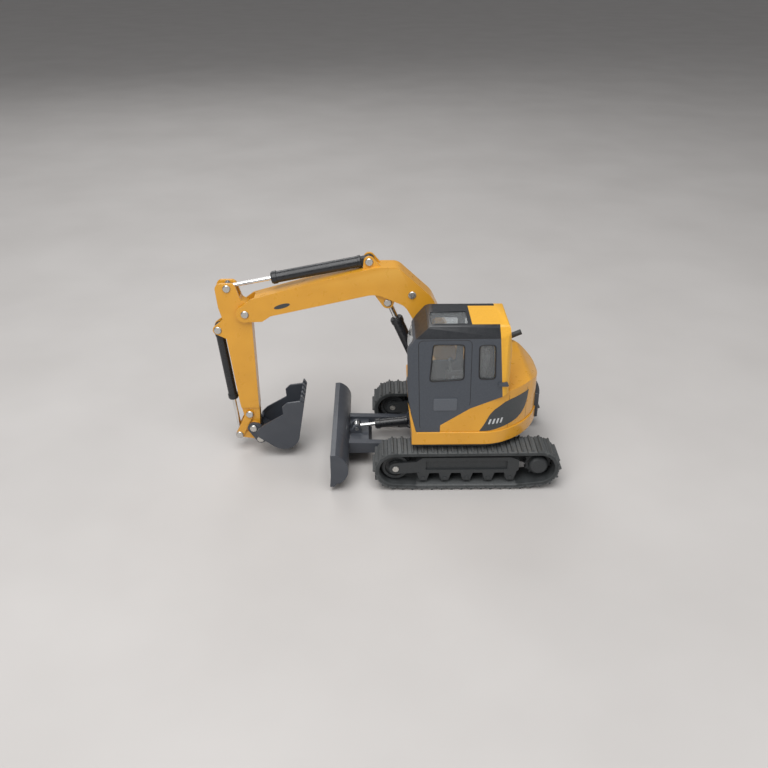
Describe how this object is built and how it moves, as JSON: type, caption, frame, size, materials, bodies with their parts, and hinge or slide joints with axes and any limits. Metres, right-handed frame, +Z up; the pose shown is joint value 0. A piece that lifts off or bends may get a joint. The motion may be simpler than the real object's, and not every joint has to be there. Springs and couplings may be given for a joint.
{
  "type": "toy excavator",
  "caption": "Yellow tracked toy excavator with a cab, jointed boom, stick and bucket, working cylinders, a front blade and a body that turns on its tracks.",
  "frame": {"origin": "on the ground, under the axis the upper body swings about", "axes": "+X forward, towards the blade and boom; +Y to the operator's left, the cab's side; +Z up"},
  "size_m": [0.0829, 0.0362, 0.0524],
  "materials": {
    "yellow_enamel": "smooth gloss enamel on die-cast metal",
    "yellow_plastic": "moulded, semi-gloss",
    "cab_grey": "moulded, semi-gloss",
    "charcoal_enamel": "satin enamel on die-cast metal",
    "charcoal_plastic": "moulded, matt",
    "track_rubber": "matt, faint mould texture",
    "pin_steel": "plain turned steel",
    "rod_chrome": "polished",
    "cylinder_black": "moulded, gloss",
    "clear_plastic": "clear, polished",
    "interior_plastic": "moulded, matt"
  },
  "bodies": {
    "undercarriage": {"car_body": "charcoal_enamel", "track_frame_left": "charcoal_plastic", "track_frame_right": "charcoal_plastic", "track_left": "track_rubber", "track_right": "track_rubber", "track_rollers": "charcoal_plastic", "wheel_axles": "pin_steel", "swing_ring_lower": "charcoal_plastic", "swing_pin": "pin_steel", "chassis_pins": "pin_steel"},
    "left_sprocket": {"sprocket_left": "charcoal_plastic"},
    "right_sprocket": {"sprocket_right": "charcoal_plastic"},
    "left_idler": {"idler_left": "charcoal_plastic"},
    "right_idler": {"idler_right": "charcoal_plastic"},
    "blade": {"blade_moldboard": "charcoal_enamel", "blade_cutting_edge": "charcoal_enamel", "blade_arms": "charcoal_enamel", "blade_rod_pin": "pin_steel"},
    "blade_barrel": {"blade_cylinder_barrel": "cylinder_black"},
    "blade_rod": {"blade_cylinder_rod": "rod_chrome"},
    "upper": {"deck": "charcoal_plastic", "swing_ring_upper": "charcoal_plastic", "boom_bracket": "yellow_enamel", "upper_pins": "pin_steel", "skirt_left": "yellow_enamel", "skirt_right": "yellow_enamel", "counterweight": "charcoal_enamel", "side_panel_left": "yellow_enamel", "engine_hood": "yellow_enamel", "tank_cover": "yellow_enamel", "pump_cover": "yellow_enamel", "exhaust_pipe": "charcoal_plastic", "cab_frame": "cab_grey", "cab_rear_cover": "yellow_plastic", "windscreen": "clear_plastic", "skylight": "clear_plastic", "rear_window": "clear_plastic", "side_windows": "clear_plastic", "door_latch": "cab_grey", "cab_floor": "interior_plastic", "seat": "interior_plastic", "operator_controls": "interior_plastic"},
    "boom_arm": {"boom": "yellow_enamel", "boom_pins": "pin_steel"},
    "boom_barrel": {"boom_cylinder_barrel": "cylinder_black"},
    "boom_rod": {"boom_cylinder_rod": "rod_chrome"},
    "stick_barrel": {"stick_cylinder_barrel": "cylinder_black"},
    "stick_rod": {"stick_cylinder_rod": "rod_chrome"},
    "stick_arm": {"stick": "yellow_enamel", "stick_pins": "pin_steel"},
    "bucket_barrel": {"bucket_cylinder_barrel": "cylinder_black"},
    "bucket_rod": {"bucket_cylinder_rod": "rod_chrome"},
    "rocker_arm": {"rocker": "yellow_enamel", "link_pin": "pin_steel"},
    "link_arm": {"power_link": "yellow_enamel"},
    "bucket_body": {"bucket": "charcoal_enamel", "bucket_teeth": "charcoal_enamel", "bucket_pins": "pin_steel"}
  },
  "joints": [
    {"name": "swing", "type": "hinge", "parent": "undercarriage", "child": "upper", "pos_m": [0, 0, 0.0116], "axis": [0, 0, 1], "continuous": true},
    {"name": "left_drive", "type": "hinge", "parent": "undercarriage", "child": "left_sprocket", "pos_m": [-0.0172, 0.0145, 0.0059], "axis": [0, 1, 0], "continuous": true},
    {"name": "left_idler_turn", "type": "hinge", "parent": "undercarriage", "child": "left_idler", "pos_m": [0.017, 0.0145, 0.0057], "axis": [0, 1, 0], "continuous": true},
    {"name": "right_drive", "type": "hinge", "parent": "undercarriage", "child": "right_sprocket", "pos_m": [-0.0172, -0.0145, 0.0059], "axis": [0, 1, 0], "continuous": true},
    {"name": "right_idler_turn", "type": "hinge", "parent": "undercarriage", "child": "right_idler", "pos_m": [0.017, -0.0145, 0.0057], "axis": [0, 1, 0], "continuous": true},
    {"name": "blade_lift", "type": "hinge", "parent": "undercarriage", "child": "blade", "pos_m": [0.0124, 0, 0.0052], "axis": [0, -1, 0], "range_deg": [-12, 18]},
    {"name": "blade_barrel_tilt", "type": "hinge", "parent": "undercarriage", "child": "blade_barrel", "pos_m": [0.0122, 0, 0.009], "axis": [0, -1, 0], "range_deg": [-12.22, 18.04]},
    {"name": "blade_rod_slide", "type": "slide", "parent": "blade_barrel", "child": "blade_rod", "axis": [0.9937, 0, -0.112], "range_m": [-0.00122, 0.00082]},
    {"name": "boom_lift", "type": "hinge", "parent": "upper", "child": "boom_arm", "pos_m": [-0.001, -0.0022, 0.017], "axis": [0, -1, 0], "range_deg": [-12, 30]},
    {"name": "boom_barrel_tilt", "type": "hinge", "parent": "upper", "child": "boom_barrel", "pos_m": [0.0074, -0.0022, 0.0155], "axis": [0, -1, 0], "range_deg": [-13.38, 32.13]},
    {"name": "boom_rod_slide", "type": "slide", "parent": "boom_barrel", "child": "boom_rod", "axis": [0.4021, 0, 0.9156], "range_m": [-0.00182, 0.00436]},
    {"name": "stick_swing", "type": "hinge", "parent": "boom_arm", "child": "stick_arm", "pos_m": [0.0524, -0.0022, 0.0385], "axis": [0, -1, 0], "range_deg": [-10, 45]},
    {"name": "stick_barrel_tilt", "type": "hinge", "parent": "boom_arm", "child": "stick_barrel", "pos_m": [0.0229, -0.0022, 0.0511], "axis": [0, -1, 0], "range_deg": [-0.74, 3.08]},
    {"name": "stick_rod_slide", "type": "slide", "parent": "stick_barrel", "child": "stick_rod", "axis": [0.9821, 0, -0.1882], "range_m": [-0.00525, 0.00126]},
    {"name": "bucket_curl", "type": "hinge", "parent": "stick_arm", "child": "bucket_body", "pos_m": [0.0526, -0.0022, 0.0071], "axis": [0, -1, 0], "range_deg": [0, 100]},
    {"name": "rocker_turn", "type": "hinge", "parent": "stick_arm", "child": "rocker_arm", "pos_m": [0.0534, -0.0022, 0.0108], "axis": [0, -1, 0], "range_deg": [-1.05, 53.76]},
    {"name": "link_turn", "type": "hinge", "parent": "bucket_body", "child": "link_arm", "pos_m": [0.051, -0.0022, 0.004], "axis": [0, -1, 0], "range_deg": [-64.48, 1.26]},
    {"name": "bucket_barrel_tilt", "type": "hinge", "parent": "stick_arm", "child": "bucket_barrel", "pos_m": [0.0593, -0.0022, 0.0341], "axis": [0, -1, 0], "range_deg": [-0.15, 7.7]},
    {"name": "bucket_rod_slide", "type": "slide", "parent": "bucket_barrel", "child": "bucket_rod", "axis": [-0.0985, 0, -0.9951], "range_m": [-0.00466, 0.00009]}
  ],
  "couplings": [
    {"joint": "left_idler_turn", "follows": "left_drive", "ratio": 0.94595},
    {"joint": "right_idler_turn", "follows": "right_drive", "ratio": 0.94595},
    {"joint": "blade_barrel_tilt", "follows": "blade_lift", "ratio": 0.9696},
    {"joint": "blade_rod_slide", "follows": "blade_lift", "m_per_rad": -0.003745},
    {"joint": "boom_barrel_tilt", "follows": "boom_lift", "ratio": 1.0417},
    {"joint": "boom_rod_slide", "follows": "boom_lift", "m_per_rad": 0.008104},
    {"joint": "stick_barrel_tilt", "follows": "stick_swing", "ratio": 0.0667},
    {"joint": "stick_rod_slide", "follows": "stick_swing", "m_per_rad": -0.006523},
    {"joint": "rocker_turn", "follows": "bucket_curl", "ratio": 0.5271},
    {"joint": "link_turn", "follows": "bucket_curl", "ratio": -0.6322},
    {"joint": "bucket_barrel_tilt", "follows": "bucket_curl", "ratio": 0.0755},
    {"joint": "bucket_rod_slide", "follows": "bucket_curl", "m_per_rad": -0.002617}
  ]
}
